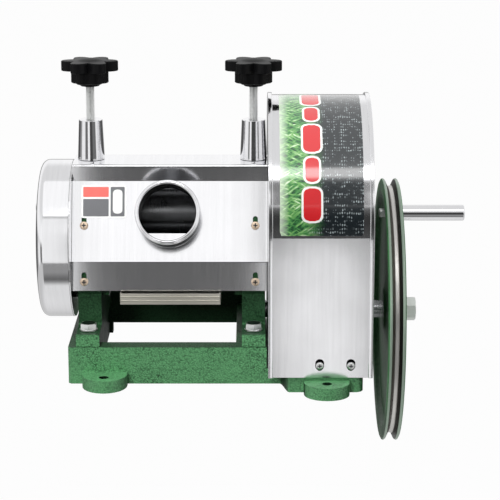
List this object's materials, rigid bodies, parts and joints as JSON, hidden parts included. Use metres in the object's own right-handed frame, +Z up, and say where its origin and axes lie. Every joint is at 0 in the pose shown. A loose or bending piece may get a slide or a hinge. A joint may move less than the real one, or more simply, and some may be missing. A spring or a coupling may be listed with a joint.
{
  "type": "manual sugarcane juicer",
  "caption": "Hand cranked roller mill for sugarcane: cast base and cheeks, folded steel cover with slanted feed tube, gear case, grooved hand wheel with handle, star knobs on lift screws.",
  "frame": {"origin": "on the bench face, in the middle plane of the drive side cheek, straight under the top roller's axis", "axes": "+X towards the hand wheel along the rollers, -Y towards the person feeding cane, +Z up"},
  "size_m": [0.4851, 0.328, 0.4426],
  "materials": {
    "hammered_green": "hammered green enamel on cast iron",
    "mirror_stainless": "mirror polished stainless sheet",
    "satin_stainless": "satin stainless sheet and turned stainless",
    "cast_iron": "machined iron with a film of grease",
    "chrome_plate": "bright chrome plate on turned steel",
    "black_plastic": "moulded black phenolic with a slight sheen",
    "zinc_plate": "bright zinc plate",
    "brass": "brass coloured plate",
    "bronze": "turned bronze"
  },
  "bodies": {
    "frame": {"base_casting": "hammered_green", "left_cheek": "hammered_green", "right_cheek": "hammered_green", "roller_cover": "mirror_stainless", "feed_tube": "mirror_stainless", "juice_tray": "satin_stainless", "discharge_chute": "satin_stainless", "turner_plate": "cast_iron", "case_wrap": "mirror_stainless", "case_front_plate": "satin_stainless", "case_inner_lid": "mirror_stainless", "case_outer_lid": "mirror_stainless", "gear_cup": "mirror_stainless", "cup_back_plate": "satin_stainless", "post_left": "chrome_plate", "post_right": "chrome_plate", "cover_screw_1": "brass", "cover_screw_2": "brass", "cover_screw_3": "brass", "cover_screw_4": "brass", "foot_bolt_1": "zinc_plate", "foot_bolt_2": "zinc_plate", "foot_bolt_3": "zinc_plate", "foot_bolt_4": "zinc_plate", "cup_screw_1": "zinc_plate", "cup_screw_2": "zinc_plate", "cup_screw_3": "zinc_plate", "case_screw_1": "zinc_plate", "case_screw_2": "zinc_plate", "case_screw_3": "zinc_plate", "case_screw_4": "zinc_plate", "left_front_bush": "bronze", "left_rear_bush": "bronze", "right_front_bush": "bronze", "right_rear_bush": "bronze", "drive_bush_inner": "bronze", "drive_bush_outer": "bronze"},
    "carriage": {"bearing_block_left": "cast_iron", "bearing_block_right": "cast_iron"},
    "left_screw": {"knob_left": "black_plastic", "lift_screw_left": "zinc_plate"},
    "right_screw": {"knob_right": "black_plastic", "lift_screw_right": "zinc_plate"},
    "crankshaft": {"drive_shaft": "chrome_plate", "drive_pinion": "cast_iron", "hand_wheel": "hammered_green", "wheel_nut": "zinc_plate", "handle_spindle": "chrome_plate"},
    "grip": {"handle_sleeve": "chrome_plate"},
    "upper_roll": {"top_roller": "satin_stainless", "drive_gear": "cast_iron", "top_roller_gear": "cast_iron"},
    "front_roll": {"front_roller": "satin_stainless", "front_roller_gear": "cast_iron"},
    "rear_roll": {"rear_roller": "satin_stainless", "rear_roller_gear": "cast_iron"}
  },
  "joints": [
    {"name": "hand_wheel_turn", "type": "hinge", "parent": "frame", "child": "crankshaft", "pos_m": [0, 0, 0.058], "axis": [1, 0, 0], "continuous": true},
    {"name": "grip_turn", "type": "hinge", "parent": "crankshaft", "child": "grip", "pos_m": [0.2, 0, 0.172], "axis": [1, 0, 0], "continuous": true},
    {"name": "left_screw_turn", "type": "hinge", "parent": "carriage", "child": "left_screw", "pos_m": [-0.184, 0, 0.25], "axis": [0, 0, 1], "range_deg": [0, 470]},
    {"name": "right_screw_turn", "type": "hinge", "parent": "carriage", "child": "right_screw", "pos_m": [0, 0, 0.25], "axis": [0, 0, 1], "range_deg": [0, 470]},
    {"name": "carriage_lift", "type": "slide", "parent": "frame", "child": "carriage", "axis": [0, 0, 1], "range_m": [0, 0.00195]},
    {"name": "upper_roll_turn", "type": "hinge", "parent": "carriage", "child": "upper_roll", "pos_m": [0, 0, 0.172], "axis": [1, 0, 0], "continuous": true},
    {"name": "front_roll_turn", "type": "hinge", "parent": "frame", "child": "front_roll", "pos_m": [0, -0.033, 0.12676], "axis": [1, 0, 0], "continuous": true},
    {"name": "rear_roll_turn", "type": "hinge", "parent": "frame", "child": "rear_roll", "pos_m": [0, 0.033, 0.12676], "axis": [1, 0, 0], "continuous": true}
  ],
  "couplings": [
    {"joint": "upper_roll_turn", "follows": "hand_wheel_turn", "ratio": -0.32558},
    {"joint": "front_roll_turn", "follows": "hand_wheel_turn", "ratio": 0.32558},
    {"joint": "rear_roll_turn", "follows": "hand_wheel_turn", "ratio": 0.32558},
    {"joint": "left_screw_turn", "follows": "carriage_lift", "rad_per_m": 4188.8},
    {"joint": "right_screw_turn", "follows": "carriage_lift", "rad_per_m": 4188.8}
  ]
}
